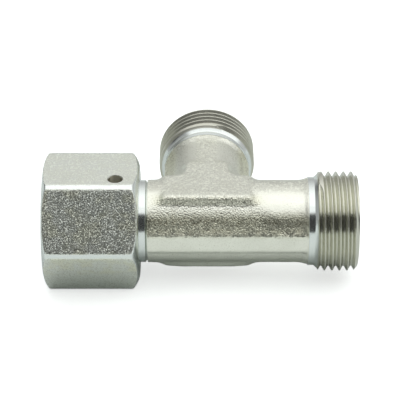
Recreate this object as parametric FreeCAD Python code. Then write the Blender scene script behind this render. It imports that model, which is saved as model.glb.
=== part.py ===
import FreeCAD, Part
import math
import os
from FreeCAD import Vector

# Run tee with a swivel nut, for hydraulic tube of 12 mm outside diameter, heavy series.
# Four pieces: a forged and machined tee body, a hexagon swivel nut, the thrust wire that
# holds the nut on the body, and the O-ring on the body's 24 degree cone.
# The run lies along X: the swivel nut is at -X, one male end at +X and the other at +Y.
# The origin is where the axes of the run and the branch cross, and Z is up.
# The threads are left as plain cylinders. Lengths are in millimetres, angles in degrees.

# Tube, flow passage and 24 degree seat, the same in both male ends
tube_d = 12.0
tube_clearance = 0.05
bore_d = 8.0
seat_mouth_d = 14.3
seat_half_angle = 12.0
tube_stop_depth = 7.5

# Male ends, measured along each arm from the centre of the tee
arm_length = 29.9
thread_d = 20.0
thread_length = 7.4
thread_tip_d = 18.0
thread_tip_chamfer = 0.75
collar_d = 17.6
collar_length = 1.3
run_in_length = 1.2

# Forged tee
barrel_d = 16.5
barrel_length = 18.6
blend_radius = 3.0
blend_inset = 0.1
flash_width = 17.4
flash_height = 3.1
flash_reach = 19.2
pad_height = 16.6
pad_width = 9.2
pad_run_reach = 8.7
pad_branch_reach = 9.9
pad_side_draft = 0.4
pad_end_draft = 2.3
pad_corner_radius = 1.1
pad_inner_radius = 2.4
pad_edge_radius = 0.7
pad_depth = 3.0

# Machined swivel end of the body, measured from the centre of the tee towards -X
neck_start = 11.8
neck_edge_break = 0.2
shank_d = 16.4
shank_end = 20.8
shank_chamfer = 0.5
gauge_distance = 22.4
nose_end = 28.3
nose_edge_chamfer = 0.45
bore_edge_chamfer = 0.4

# O-ring and its groove in the cone
oring_section = 1.5
oring_inner_d = 10.0
oring_distance = 26.0
oring_groove_width = 2.0
oring_clearance = 0.02

# Thrust wire, lying half in the body and half in the nut
wire_d = 2.2
wire_distance = 18.0
wire_clearance = 0.1
wire_tail_depth = 1.2
wire_ring_angle = 335.0

# Swivel nut
nut_across_flats = 24.0
nut_rear = 13.4
nut_length = 19.1
nut_running_clearance = 0.08
nut_corner_radius = 0.8
nut_face_d = 22.2
nut_front_crown = 1.15
nut_rear_crown = 1.5
nut_crown_bulge = 0.2
nut_thread_d = 18.38
nut_mouth_d = 20.7
nut_thread_length = 8.4
nut_relief_d = 20.3
nut_relief_width = 1.3
nut_rear_chamfer = 0.4
wire_hole_d = 2.8
wire_hole_offset = 4.0
wire_hole_chamfer = 0.2

X_AXIS = Vector(1, 0, 0)
Z_AXIS = Vector(0, 0, 1)
CENTRE = Vector(0, 0, 0)
OVERRUN = 1.0
TOUCH = 0.01
FULL_TURN = 360.0
QUARTER_TURN = 90.0
HEXAGON_SIDES = 6

seat_slope = math.tan(math.radians(seat_half_angle))
thread_start = arm_length - thread_length
collar_end = thread_start - run_in_length
collar_start = collar_end - collar_length
socket_d = tube_d + 2 * tube_clearance
nut_bore_d = shank_d + 2 * nut_running_clearance
wire_ring_radius = (shank_d + nut_bore_d) / 4
wire_groove_radius = wire_d / 2 + wire_clearance
nut_front = nut_rear + nut_length


def line(*corners):
    """Straight edges through corners given as (distance along X, radius)."""
    points = [Vector(x, r, 0) for x, r in corners]
    return [Part.LineSegment(a, b).toShape() for a, b in zip(points, points[1:])]


def arc(start, middle, end):
    """One arc through three corners given as (distance along X, radius)."""
    points = [Vector(x, r, 0) for x, r in (start, middle, end)]
    return [Part.Arc(*points).toShape()]


def turned(edges):
    """Solid of revolution about X, from a closed profile of edges in the XY plane."""
    profile = Part.Wire(Part.__sortEdges__(edges))
    return Part.Face(profile).revolve(CENTRE, X_AXIS, FULL_TURN)


def turned_polygon(*corners):
    """Solid of revolution about X, from a closed profile of straight edges."""
    return turned(line(*corners, corners[0]))


def along_branch(shape):
    """The same shape on the branch: turned from +X to +Y."""
    copy = shape.copy()
    copy.rotate(CENTRE, Z_AXIS, QUARTER_TURN)
    return copy


def ring(centre_x, ring_radius, section_radius):
    """Torus about the X axis."""
    return Part.makeTorus(ring_radius, section_radius, Vector(centre_x, 0, 0), X_AXIS)


def male_arm():
    """One arm of the tee along +X: forged barrel, flared shoulder, turned collar and threaded end."""
    barrel_r = barrel_d / 2
    collar_r = collar_d / 2
    thread_r = thread_d / 2
    flare_rise = collar_r - barrel_r
    flare = arc(
        (barrel_length, barrel_r),
        ((barrel_length + collar_start) / 2, barrel_r + flare_rise / 4),
        (collar_start, collar_r),
    )
    before = line((0, 0), (0, barrel_r), (barrel_length, barrel_r))
    after = line(
        (collar_start, collar_r),
        (collar_end, collar_r),
        (thread_start, thread_r),
        (arm_length - thread_tip_chamfer, thread_r),
        (arm_length, thread_tip_d / 2),
        (arm_length, 0),
        (0, 0),
    )
    return turned(before + flare + after)


def male_port():
    """What is bored out of a male end: flow passage, tube socket with its stop, and 24 degree seat."""
    seat_depth = (seat_mouth_d - socket_d) / 2 / seat_slope
    mouth_r = seat_mouth_d / 2
    outside = arm_length + OVERRUN
    return turned_polygon(
        (0, 0),
        (0, bore_d / 2),
        (arm_length - tube_stop_depth, bore_d / 2),
        (arm_length - tube_stop_depth, socket_d / 2),
        (arm_length - seat_depth, socket_d / 2),
        (arm_length, mouth_r),
        (outside, mouth_r + OVERRUN * seat_slope),
        (outside, 0),
    )


def swivel_arm():
    """The arm along -X: forged barrel, then the turned shank and the 24 degree cone."""
    barrel_r = barrel_d / 2
    shank_r = shank_d / 2
    gauge_r = seat_mouth_d / 2
    cone_root_r = gauge_r + (gauge_distance - shank_end) * seat_slope
    tip_r = gauge_r - (nose_end - gauge_distance) * seat_slope
    return turned_polygon(
        (0, 0),
        (0, barrel_r),
        (-neck_start, barrel_r),
        (-neck_start, shank_r - neck_edge_break),
        (-neck_start - neck_edge_break, shank_r),
        (-shank_end + shank_chamfer, shank_r),
        (-shank_end, shank_r - shank_chamfer),
        (-shank_end, cone_root_r),
        (-nose_end + nose_edge_chamfer, tip_r + nose_edge_chamfer * seat_slope),
        (-nose_end, tip_r - nose_edge_chamfer),
        (-nose_end, 0),
    )


def swivel_port():
    """The flow passage on the swivel side, with its edge broken at the tip of the cone."""
    bore_r = bore_d / 2
    outside = nose_end + OVERRUN
    return turned_polygon(
        (0, 0),
        (0, bore_r),
        (-nose_end + bore_edge_chamfer, bore_r),
        (-outside, bore_r + bore_edge_chamfer + OVERRUN),
        (-outside, 0),
    )


def oring_groove():
    """Square groove round the cone."""
    half_width = oring_groove_width / 2
    depth_r = oring_inner_d / 2
    outside_r = seat_mouth_d / 2 + OVERRUN
    return turned_polygon(
        (-oring_distance - half_width, depth_r),
        (-oring_distance - half_width, outside_r),
        (-oring_distance + half_width, outside_r),
        (-oring_distance + half_width, depth_r),
    )


def tee_corners(half_width, run_back, run_front, branch_end, z):
    """Corners of a tee seen from above, at height z."""
    corners = [
        (-run_back, -half_width),
        (run_front, -half_width),
        (run_front, half_width),
        (half_width, half_width),
        (half_width, branch_end),
        (-half_width, branch_end),
        (-half_width, half_width),
        (-run_back, half_width),
    ]
    return [Vector(x, y, z) for x, y in corners]


def flat_face(corners):
    """Plane face with straight edges through its corners."""
    return Part.Face(Part.makePolygon(corners + corners[:1]))


def drafted_bar(half_x, back_y, front_y, grow_x, grow_back, grow_front):
    """Bar under the pad's top plane, given by its top outline, with walls that spread towards its foot."""
    low = (-half_x - grow_x, 0, -front_y - grow_front, -front_y, -half_x)
    high = (half_x + grow_x, pad_depth, -back_y + grow_back, -back_y, half_x)
    bar = Part.makeWedge(*low, *high)
    bar.rotate(CENTRE, X_AXIS, QUARTER_TURN)
    bar.translate(Z_AXIS * (pad_height / 2 - pad_depth))
    return bar


def upright_edges(solid):
    """Edges of a tee-shaped block that climb from its lower outline to its upper one."""
    return [edge for edge in solid.Edges if edge.BoundBox.ZLength > OVERRUN]


def inner_corners(solid, reach):
    """The two upright edges where the branch arm leaves the run arms, within reach of the centre."""
    found = []
    for edge in upright_edges(solid):
        middle = edge.CenterOfMass
        if abs(middle.x) < reach and 0 < middle.y < reach:
            found.append(edge)
    return found


def end_corners(solid):
    """The upright edges at the ends of the pad's three arms."""
    found = []
    for edge in upright_edges(solid):
        middle = edge.CenterOfMass
        if abs(middle.x) > pad_run_reach or middle.y > pad_branch_reach:
            found.append(edge)
    return found


def die_pad():
    """The raised tee-shaped flat that the upper forging die leaves, with steep sides and sloping ends."""
    half_width = pad_width / 2
    run = drafted_bar(pad_run_reach, -half_width, half_width, pad_end_draft, pad_side_draft, pad_side_draft)
    branch = drafted_bar(half_width, 0, pad_branch_reach, pad_side_draft, 0, pad_end_draft)
    pad = run.fuse(branch).removeSplitter().Solids[0]
    pad = pad.makeFillet(pad_inner_radius, inner_corners(pad, half_width + pad_side_draft + OVERRUN))
    pad = pad.makeFillet(pad_corner_radius, end_corners(pad))
    rim = [edge for edge in pad.Edges if edge.BoundBox.ZMin > pad_height / 2 - TOUCH]
    return pad.makeFillet(pad_edge_radius, rim)


def elbow(side):
    """Quarter bend that rounds the corner between the branch and the run arm on one side, +1 or -1."""
    bend_radius = barrel_d / 2 + blend_radius
    bend_centre = Vector(side * bend_radius, bend_radius, 0)
    section_radius = barrel_d / 2 - blend_inset
    bend = Part.makeTorus(bend_radius, section_radius, bend_centre, Z_AXIS, 0, FULL_TURN, QUARTER_TURN)
    first_angle = 2 * QUARTER_TURN if side > 0 else 3 * QUARTER_TURN
    bend.rotate(bend_centre, Z_AXIS, first_angle)
    return bend


def forged_tee():
    """Barrels of run and branch, blended at their inner corners, with both pads and the flash band."""
    barrels = male_arm().fuse([along_branch(male_arm()), swivel_arm(), elbow(1), elbow(-1)])
    upper_pad = die_pad()
    lower_pad = upper_pad.mirror(CENTRE, Z_AXIS)
    return barrels.fuse([upper_pad, lower_pad, flash_band()]).removeSplitter()


def flash_band():
    """The trimmed flash that stands proud all round the parting plane of the forging."""
    half_width = flash_width / 2
    corners = tee_corners(half_width, neck_start, flash_reach, flash_reach, -flash_height / 2)
    band = flat_face(corners).extrude(Z_AXIS * flash_height)
    corner_radius = barrel_d / 2 + blend_radius - half_width
    return band.makeFillet(corner_radius, inner_corners(band, half_width + OVERRUN))


def tee_body():
    """The forging after machining: ports bored, O-ring groove and wire groove turned."""
    body = forged_tee()
    cuts = [male_port(), along_branch(male_port()), swivel_port(), oring_groove()]
    cuts.append(ring(-wire_distance, wire_ring_radius, wire_groove_radius))
    return body.cut(cuts).removeSplitter()


def hexagon_bar():
    """Hexagon prism along -X with its long corners rounded and a flat on top."""
    corner_distance = nut_across_flats / math.sqrt(3)
    corners = []
    for side in range(HEXAGON_SIDES):
        angle = math.radians(side * FULL_TURN / HEXAGON_SIDES)
        y = corner_distance * math.cos(angle)
        corners.append(Vector(-nut_front, y, corner_distance * math.sin(angle)))
    bar = flat_face(corners).extrude(X_AXIS * nut_length)
    long_edges = [e for e in bar.Edges if e.BoundBox.XLength > nut_length / 2]
    return bar.makeFillet(nut_corner_radius, long_edges)


def crown_arc(face_x, inward, depth):
    """Arc from a face of the nut to its corners; inward is +1 or -1, the way along X into the nut."""
    face_r = nut_face_d / 2
    corner_r = nut_across_flats / math.sqrt(3)
    slope_length = math.hypot(depth, corner_r - face_r)
    outward_x = -inward * (corner_r - face_r) / slope_length
    outward_r = depth / slope_length
    middle_x = face_x + inward * depth / 2 + outward_x * nut_crown_bulge
    middle_r = (face_r + corner_r) / 2 + outward_r * nut_crown_bulge
    return arc((face_x, face_r), (middle_x, middle_r), (face_x + inward * depth, corner_r))


def crowned_envelope():
    """Solid of revolution that rounds off both ends of the hexagon."""
    face_r = nut_face_d / 2
    corner_r = nut_across_flats / math.sqrt(3)
    front = crown_arc(-nut_front, 1, nut_front_crown)
    rear = crown_arc(-nut_rear, -1, nut_rear_crown)
    side = line((-nut_front + nut_front_crown, corner_r), (-nut_rear - nut_rear_crown, corner_r))
    closing = line((-nut_rear, face_r), (-nut_rear, 0), (-nut_front, 0), (-nut_front, face_r))
    return turned(front + side + rear + closing)


def nut_bore():
    """What is bored out of the nut: mouth, thread, thread relief, thrust slope and rear bore."""
    mouth_r = nut_mouth_d / 2
    thread_r = nut_thread_d / 2
    relief_r = nut_relief_d / 2
    bore_r = nut_bore_d / 2
    thread_end = nut_front - (mouth_r - thread_r) - nut_thread_length
    slope_start = thread_end - nut_relief_width
    slope_end = slope_start - (relief_r - bore_r)
    return turned_polygon(
        (-nut_front - OVERRUN, 0),
        (-nut_front - OVERRUN, mouth_r + OVERRUN),
        (-nut_front + mouth_r - thread_r, thread_r),
        (-thread_end, thread_r),
        (-thread_end, relief_r),
        (-slope_start, relief_r),
        (-slope_end, bore_r),
        (-nut_rear - nut_rear_chamfer, bore_r),
        (-nut_rear + OVERRUN, bore_r + nut_rear_chamfer + OVERRUN),
        (-nut_rear + OVERRUN, 0),
    )


def wire_entry():
    """Where the wire's tail leaves its ring, and the tail's direction out to the nut's top flat."""
    hole_mouth = Vector(-wire_distance, -wire_hole_offset, nut_across_flats / 2)
    mouth_radius = math.hypot(hole_mouth.y, hole_mouth.z)
    mouth_angle = math.degrees(math.atan2(hole_mouth.z, hole_mouth.y))
    entry_angle = mouth_angle + math.degrees(math.acos(wire_ring_radius / mouth_radius))
    entry = on_wire_ring(entry_angle)
    outward = (hole_mouth - entry).normalize()
    return entry_angle, entry, outward, hole_mouth


def wire_hole():
    """The hole through which the wire is fed, tangent to the wire's ring, with a broken edge."""
    entry_angle, entry, outward, hole_mouth = wire_entry()
    hole_r = wire_hole_d / 2
    drilled = Part.makeCylinder(hole_r, (hole_mouth - entry).Length + OVERRUN, entry, outward)
    edge_start = hole_mouth - outward * wire_hole_chamfer
    edge_length = wire_hole_chamfer + OVERRUN
    edge = Part.makeCone(hole_r, hole_r + edge_length, edge_length, edge_start, outward)
    return drilled.fuse(edge)


def swivel_nut():
    """Hexagon nut with its thread at the front and half of the wire groove at the rear."""
    nut = hexagon_bar().common(crowned_envelope())
    wire_groove = ring(-wire_distance, wire_ring_radius, wire_groove_radius)
    return nut.cut([nut_bore(), wire_groove, wire_hole()]).removeSplitter()


def on_wire_ring(angle):
    """Point on the wire's ring, the angle counted from +Y towards +Z."""
    turn = math.radians(angle)
    return Vector(-wire_distance, wire_ring_radius * math.cos(turn), wire_ring_radius * math.sin(turn))


def thrust_wire():
    """Round wire bent to an open ring, with its straight tail in the nut's hole."""
    entry_angle, entry, outward, hole_mouth = wire_entry()
    tail_end = hole_mouth - outward * wire_tail_depth
    half_way = on_wire_ring(entry_angle + wire_ring_angle / 2)
    ring_end = on_wire_ring(entry_angle + wire_ring_angle)
    tail = Part.LineSegment(tail_end, entry).toShape()
    open_ring = Part.Arc(entry, half_way, ring_end).toShape()
    section = Part.Wire(Part.makeCircle(wire_d / 2, tail_end, outward))
    return Part.Wire([tail, open_ring]).makePipeShell([section], True, True)


def cone_o_ring():
    """The rubber ring in the groove of the cone, standing slightly proud of it."""
    centre_radius = oring_inner_d / 2 + oring_section / 2 + oring_clearance
    return ring(-oring_distance, centre_radius, oring_section / 2)


PIECES = {
    "tee_body": tee_body,
    "swivel_nut": swivel_nut,
    "thrust_wire": thrust_wire,
    "cone_o_ring": cone_o_ring,
}

os.makedirs("parts", exist_ok=True)
for name, make in PIECES.items():
    piece = make()
    print(name, "solids", len(piece.Solids), "valid", piece.isValid(), "volume", round(piece.Volume, 2))
    piece.exportStep(f"parts/{name}.step")
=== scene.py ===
import math
from types import SimpleNamespace

import bmesh
import bpy
from bpy.props import FloatProperty, FloatVectorProperty, IntProperty, PointerProperty
from bpy.types import Operator, Panel, PropertyGroup
from mathutils import Matrix, Vector


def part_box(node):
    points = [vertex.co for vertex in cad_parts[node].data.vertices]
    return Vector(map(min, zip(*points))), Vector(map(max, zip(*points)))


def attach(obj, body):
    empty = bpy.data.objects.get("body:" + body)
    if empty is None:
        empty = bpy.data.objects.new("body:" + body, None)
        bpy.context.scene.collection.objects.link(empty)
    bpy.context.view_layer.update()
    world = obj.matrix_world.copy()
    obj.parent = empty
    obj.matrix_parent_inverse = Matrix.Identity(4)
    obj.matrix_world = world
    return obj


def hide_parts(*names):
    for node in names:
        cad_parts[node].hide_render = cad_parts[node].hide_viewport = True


bl_info = {
    "name": "Run Tee with Swivel Nut",
    "version": (1, 0, 0),
    "blender": (4, 5, 0),
    "location": "View3D > Sidebar > Run Tee",
    "description": "Forged and turned run tee, its hexagon swivel nut, thrust wire and O-ring, with the studio",
    "category": "Add Mesh",
}

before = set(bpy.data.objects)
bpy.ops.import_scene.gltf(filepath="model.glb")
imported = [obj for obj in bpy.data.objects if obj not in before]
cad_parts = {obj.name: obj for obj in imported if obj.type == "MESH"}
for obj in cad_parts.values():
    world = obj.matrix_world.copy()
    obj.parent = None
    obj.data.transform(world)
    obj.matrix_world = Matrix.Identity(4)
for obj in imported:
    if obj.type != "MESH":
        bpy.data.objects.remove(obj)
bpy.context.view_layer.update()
TEE_LOW, TEE_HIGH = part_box("tee_body")
NUT_LOW, NUT_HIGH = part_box("swivel_nut")

# Everything is modelled in millimetres and brought to metres at the end of each piece.
MM = 0.001
FULL_TURN = 2 * math.pi
QUARTER_TURN = math.pi / 2
HEXAGON_SIDES = 6
MERGE = 0.0005
OVERRUN = 1.0
ARC_STEPS = 6
GROOVE_STEPS = 16
DRILL_SIDES = 48
NO_THREAD = 100.0
WHITE = (1.0, 1.0, 1.0, 1.0)

# The slope of the 24 degree cone, and the depth of a male and a female thread in pitches.
CONE_SLOPE = math.tan(math.radians(12))
MALE_DEPTH, FEMALE_DEPTH = 0.6134, 0.54
# How far round the tee the thrust wire goes.
WIRE_TURN = math.radians(335)
# Where the flash is torn on the near side: place along the run, width and strength.
TEARS = ((14.3, 1.6, 0.55), (18.5, 0.9, 0.3))


def size(name, description, default_mm):
    """A length that the user can change, kept in metres."""
    return FloatProperty(
        name=name, description=description, default=default_mm * MM, min=0.0, precision=5,
        unit="LENGTH", subtype="DISTANCE",
    )


def colour(name, description, default):
    """A colour that the user can change."""
    return FloatVectorProperty(
        name=name, description=description, default=default, size=3, min=0.0, max=1.0, subtype="COLOR",
    )


class ForgingSizes(PropertyGroup):
    barrel_d: size("Barrel diameter", "Diameter of the forged barrels", 16.5)
    barrel_length: size("Barrel length", "From the centre to the start of the flare", 18.6)
    forged_length: size("Forged length", "From the centre to the turned collar", 20.0)
    flare_d: size("Flare diameter", "Diameter of the flare at the collar", 17.6)
    neck_start: size("Neck start", "From the centre to the turned shank", 11.8)
    bore_d: size("Flow bore", "Diameter of the flow passage", 8.0)
    blend_radius: size("Blend radius", "Radius in the corners between branch and run", 3.0)
    pad_height: size("Pad height", "Distance between the two die pads", 16.6)
    pad_width: size("Pad width", "Width of the die pad's arms", 8.9)
    pad_run_reach: size("Pad reach on the run", "From the centre to the pad's end on the run", 8.7)
    pad_branch_reach: size("Pad reach on the branch", "From the centre to the pad's end on the branch", 9.9)
    pad_depth: size("Pad depth", "Depth of the pad's walls into the barrels", 3.0)
    pad_side_draft: size("Pad side draft", "Spread of the pad's sides at their foot", 0.95)
    pad_end_draft: size("Pad end draft", "Spread of the pad's ends at their foot", 2.3)
    pad_corner_radius: size("Pad corner radius", "Radius of the pad's outer corners", 1.1)
    pad_inner_radius: size("Pad inner radius", "Radius of the pad's inner corners", 2.4)
    pad_edge_radius: size("Pad edge radius", "Rounding of the pad's rim", 0.7)
    flash_width: size("Flash width", "Width over the trimmed flash band", 17.4)
    flash_height: size("Flash height", "Height of the trimmed flash band", 3.1)
    flash_slope: size("Flash slope", "Lean of the band above the trimmed face", 1.6)
    flash_rise: size("Flash rise", "Height of the band's lean above the trimmed face", 2.65)
    flash_foot: size("Flash foot", "Lean of the band below the trimmed face", 0.35)
    flash_drop: size("Flash drop", "Height of the band's lean below the trimmed face", 0.9)
    grain: size("Skin", "Edge length of the forging's skin", 0.2)


class EndSizes(PropertyGroup):
    thread_d: size("Thread diameter", "Outside diameter of the metric thread", 19.85)
    pitch: size("Thread pitch", "Pitch of the metric thread", 1.5)
    thread_length: size("Thread length", "Length of the full thread with its chamfer", 7.0)
    tip_d: size("Tip diameter", "Diameter of the end face", 18.0)
    tip_chamfer: size("Tip chamfer", "Length of the chamfer at the tip", 0.75)
    run_in: size("Run-in", "Length of the run-in between collar and thread", 1.7)
    seat_mouth_d: size("Seat mouth", "Diameter of the seat at the end face", 14.3)
    socket_d: size("Tube socket", "Diameter of the socket for the tube", 12.1)
    socket_depth: size("Socket depth", "Depth of the tube stop under the end face", 7.5)
    valley_start: size("First valley", "From the centre to the first valley, on top", 22.07)
    thread_fade: size("Thread fade", "Where the first valley has its full depth", 4.0)


class NoseSizes(PropertyGroup):
    shank_d: size("Shank diameter", "Diameter of the turned shank", 16.4)
    shank_end: size("Shank end", "From the centre to the shank's end", 20.8)
    gauge_d: size("Gauge diameter", "The cone's diameter at its gauge distance", 14.3)
    gauge_distance: size("Gauge distance", "From the centre to the gauge diameter", 22.4)
    ring_distance: size("Ring distance", "From the centre to the O-ring", 26.0)
    ring_section: size("Ring section", "Thickness of the O-ring", 1.5)
    ring_groove_width: size("Ring groove", "Width of the O-ring groove", 2.0)
    ring_inner_d: size("Ring inner diameter", "Inner diameter of the O-ring", 10.0)
    wire_distance: size("Wire distance", "From the centre to the thrust wire", 18.0)
    wire_d: size("Wire diameter", "Diameter of the thrust wire", 2.2)
    wire_clearance: size("Wire clearance", "Play of the wire in its groove", 0.1)
    wire_tail_depth: size("Wire tail depth", "Depth of the wire's tail under the flat", 1.2)


class NutSizes(PropertyGroup):
    face_d: size("Face diameter", "Diameter of the nut's end faces", 22.2)
    front_crown: size("Front crown", "Depth of the crown at the nut's mouth", 1.15)
    rear_crown: size("Rear crown", "Depth of the crown at the nut's rear", 1.5)
    crown_bulge: size("Crown bulge", "Bulge of the crown's arc", 0.2)
    corner_radius: size("Corner radius", "Rounding of the long corners", 1.5)
    thread_bore: size("Thread bore", "Bore of the nut's thread", 18.38)
    mouth_d: size("Mouth diameter", "Diameter of the chamfer at the mouth", 20.7)
    thread_length: size("Nut thread length", "Length of the nut's thread", 8.4)
    relief_d: size("Relief diameter", "Diameter of the thread relief", 20.3)
    relief_width: size("Relief width", "Width of the thread relief", 1.3)
    rear_bore: size("Rear bore", "Bore that runs on the shank", 16.56)
    rear_chamfer: size("Rear chamfer", "Chamfer of the rear bore", 0.4)
    hole_d: size("Wire hole", "Diameter of the hole for the thrust wire", 2.8)
    hole_offset: size("Wire hole offset", "From the flat's middle to the wire hole", 4.0)
    hole_chamfer: size("Hole chamfer", "Broken edge of the wire hole", 0.2)
    grain: size("Skin", "Edge length of the nut's skin", 0.2)


class Finishes(PropertyGroup):
    forged: colour("Forged zinc", "Plated skin of the forging", (0.81, 0.825, 0.735))
    flats: colour("Nut flats", "Plated skin of the nut's flats", (0.83, 0.865, 0.795))
    turned: colour("Turned zinc", "Plated turned faces", (0.74, 0.785, 0.76))
    thread: colour("Thread", "Plated thread flanks", (0.64, 0.645, 0.56))
    # Real deposit in the hollows, and also the colour of the painted shade in the forging's band crease and in the
    # nut's wire hole.
    soil_and_shade: colour("Soil", "Darker deposit in the hollows of the skin", (0.30, 0.28, 0.19))
    stain: colour("Stain", "Yellowish cast on the flats and over the flash", (0.80, 0.80, 0.57))
    wire: colour("Wire", "Drawn steel wire", (0.33, 0.31, 0.235))
    rubber: colour("Rubber", "Rubber of the O-ring", (0.022, 0.022, 0.024))


class StageSettings(PropertyGroup):
    floor: colour("Floor", "Colour of the floor", (0.77, 0.81, 0.795))
    distance: size("Camera distance", "From the aim to the camera", 400.0)
    elevation: FloatProperty(name="Camera elevation", description="Camera height over the horizon",
                             default=math.radians(30.5), subtype="ANGLE", unit="ROTATION")
    lens: FloatProperty(name="Lens", description="Focal length in millimetres", default=180.0, min=1.0)
    aim: FloatVectorProperty(name="Aim", description="Point that the camera looks at", size=3,
                             default=(-0.00141, 0.00213, 0.00359), subtype="XYZ", unit="LENGTH")
    round_steps: IntProperty(name="Round steps", description="Sides of a turned piece", default=144, min=24)


def in_mm(group):
    """The sizes of a property group as plain numbers in millimetres."""
    return SimpleNamespace(**{key: getattr(group, key) / MM for key in group.__annotations__})


def recipe(context):
    """The sizes in millimetres, the finishes and the steps round a turned piece."""
    scene = context.scene
    groups = {name: in_mm(getattr(scene, name + "_sizes")) for name in ("forging", "end", "nose", "nut")}
    return SimpleNamespace(**groups, finishes=scene.finishes, steps=scene.stage_settings.round_steps)


# Mesh tools

def activate(obj):
    """Selects one object alone and makes it active."""
    bpy.ops.object.select_all(action="DESELECT")
    obj.select_set(True)
    bpy.context.view_layer.objects.active = obj


def edit(obj, mode="VERT"):
    """Opens one object in edit mode with nothing selected."""
    activate(obj)
    bpy.ops.object.mode_set(mode="EDIT")
    bpy.ops.mesh.select_mode(type=mode)
    bpy.ops.mesh.select_all(action="DESELECT")


def leave():
    """Goes back to object mode."""
    bpy.ops.object.mode_set(mode="OBJECT")


def settle(obj):
    """Brings an object's place, turn and scale into its mesh."""
    activate(obj)
    bpy.ops.object.transform_apply(location=True, rotation=True, scale=True)


def added(name):
    """Names the object that was just added."""
    obj = bpy.context.view_layer.objects.active
    obj.name = obj.data.name = name
    return obj


def primitive(add, name, **settings):
    """Adds a primitive by its operator, with its place in its mesh."""
    bpy.ops.object.select_all(action="DESELECT")
    add(**settings)
    obj = added(name)
    settle(obj)
    return obj


def pick(obj, test, kind="verts"):
    """In edit mode, selects the vertices, edges or faces whose middle passes the test."""
    bm = bmesh.from_edit_mesh(obj.data)
    for item in getattr(bm, kind):
        if kind == "verts":
            middle = item.co
        elif kind == "edges":
            middle = (item.verts[0].co + item.verts[1].co) / 2
        else:
            middle = item.calc_center_median()
        item.select_set(bool(test(middle)))
    bm.select_flush_mode()
    bmesh.update_edit_mesh(obj.data)


def select_all():
    """In edit mode, selects everything."""
    bpy.ops.mesh.select_all(action="SELECT")


def push(x, y, z):
    """Moves what is selected."""
    bpy.ops.transform.translate(value=(x, y, z))


def draw_out(x, y, z):
    """In edit mode, extrudes what is selected."""
    bpy.ops.mesh.extrude_region_move(TRANSFORM_OT_translate={"value": (x, y, z)})


def close_up():
    """In edit mode, merges doubles and turns all faces outwards."""
    select_all()
    bpy.ops.mesh.remove_doubles(threshold=MERGE)
    bpy.ops.mesh.normals_make_consistent(inside=False)


def closed(obj):
    """Leaves edit mode with a closed mesh."""
    close_up()
    leave()
    return obj


def profile_line(name, corners, loop):
    """A chain of edges in the XZ plane through corners given as (x, radius), back to the first in a loop."""
    obj = primitive(bpy.ops.mesh.primitive_plane_add, name, size=1.0, location=(0, 0, 0))
    edit(obj)
    select_all()
    bpy.ops.mesh.merge(type="CENTER")
    push(corners[0][0], 0, corners[0][1])
    chain = list(corners) + ([corners[0]] if loop else [])
    for (x0, r0), (x1, r1) in zip(chain, chain[1:]):
        draw_out(x1 - x0, 0, r1 - r0)
    select_all()
    bpy.ops.mesh.remove_doubles(threshold=MERGE)
    return obj


def lathe(name, corners, steps):
    """Closed mesh of revolution about X; the profile is closed, or starts and ends on the axis."""
    open_ends = abs(corners[0][1]) < MERGE and abs(corners[-1][1]) < MERGE
    obj = profile_line(name, corners, loop=not open_ends)
    select_all()
    bpy.ops.mesh.spin(steps=steps, angle=FULL_TURN, center=(0, 0, 0), axis=(1, 0, 0))
    return closed(obj)


def rod(name, start, end, radius, steps):
    """A plain cylinder along X."""
    return lathe(name, [(start, 0), (start, radius), (end, radius), (end, 0)], steps)


def arc_points(start, bulge, end):
    """Points of a shallow arc between two profile corners, bulging to the left of the way."""
    (x0, r0), (x1, r1) = start, end
    length = math.hypot(x1 - x0, r1 - r0)
    side_x, side_r = -(r1 - r0) / length, (x1 - x0) / length
    points = []
    for step in range(ARC_STEPS + 1):
        t = step / ARC_STEPS
        lift = 4 * bulge * t * (1 - t)
        points.append((x0 + (x1 - x0) * t + side_x * lift, r0 + (r1 - r0) * t + side_r * lift))
    return points


def apply_modifier(obj, kind, **settings):
    """Adds a modifier with its settings and applies it."""
    activate(obj)
    bpy.ops.object.modifier_add(type=kind)
    modifier = obj.modifiers[-1]
    for key, value in settings.items():
        setattr(modifier, key, value)
    bpy.ops.object.modifier_apply(modifier=modifier.name)


def soften(obj, times, group=""):
    """Smooths a skin, all over or where a vertex group says."""
    apply_modifier(obj, "SMOOTH", factor=0.5, iterations=times, vertex_group=group)


def break_edges(obj, width, segments, degrees):
    """Rounds the edges that are sharper than an angle."""
    apply_modifier(obj, "BEVEL", width=width, segments=segments, limit_method="ANGLE",
                   angle_limit=math.radians(degrees))


def new_skin(obj, grain):
    """Joins closed parts that overlap under one even skin."""
    apply_modifier(obj, "REMESH", mode="VOXEL", voxel_size=grain, adaptivity=0.0)


def combine(obj, tool, operation):
    """Boolean of two closed meshes; the tool is used up."""
    apply_modifier(obj, "BOOLEAN", operation=operation, object=tool, solver="EXACT")
    bpy.data.objects.remove(tool)
    return obj


def turned_onto_branch(obj):
    """Turns a piece from +X to +Y and applies the turn."""
    obj.rotation_euler = (0, 0, QUARTER_TURN)
    settle(obj)
    return obj


def copy_of(obj, name):
    """A copy with its own mesh."""
    activate(obj)
    bpy.ops.object.duplicate(linked=False)
    return added(name)


def join(objects):
    """Joins objects into the first one."""
    activate(objects[0])
    for obj in objects:
        obj.select_set(True)
    bpy.ops.object.join()
    return objects[0]


def slice_off(obj, point, outward):
    """Cuts a closed mesh along a plane, drops what lies outwards of it and closes the cut."""
    edit(obj)
    select_all()
    bpy.ops.mesh.bisect(plane_co=point, plane_no=outward, use_fill=True, clear_outer=True)
    leave()


def finish_piece(obj, body, nodes, material, smooth_angle=32):
    """Brings a piece to metres, shades it, paints it and puts it on its body."""
    obj.scale = (MM, MM, MM)
    settle(obj)
    bpy.ops.object.shade_smooth_by_angle(angle=math.radians(smooth_angle))
    obj.data.materials.clear()
    obj.data.materials.append(material)
    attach(obj, body)
    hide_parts(*nodes)


# Shader tools

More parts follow.
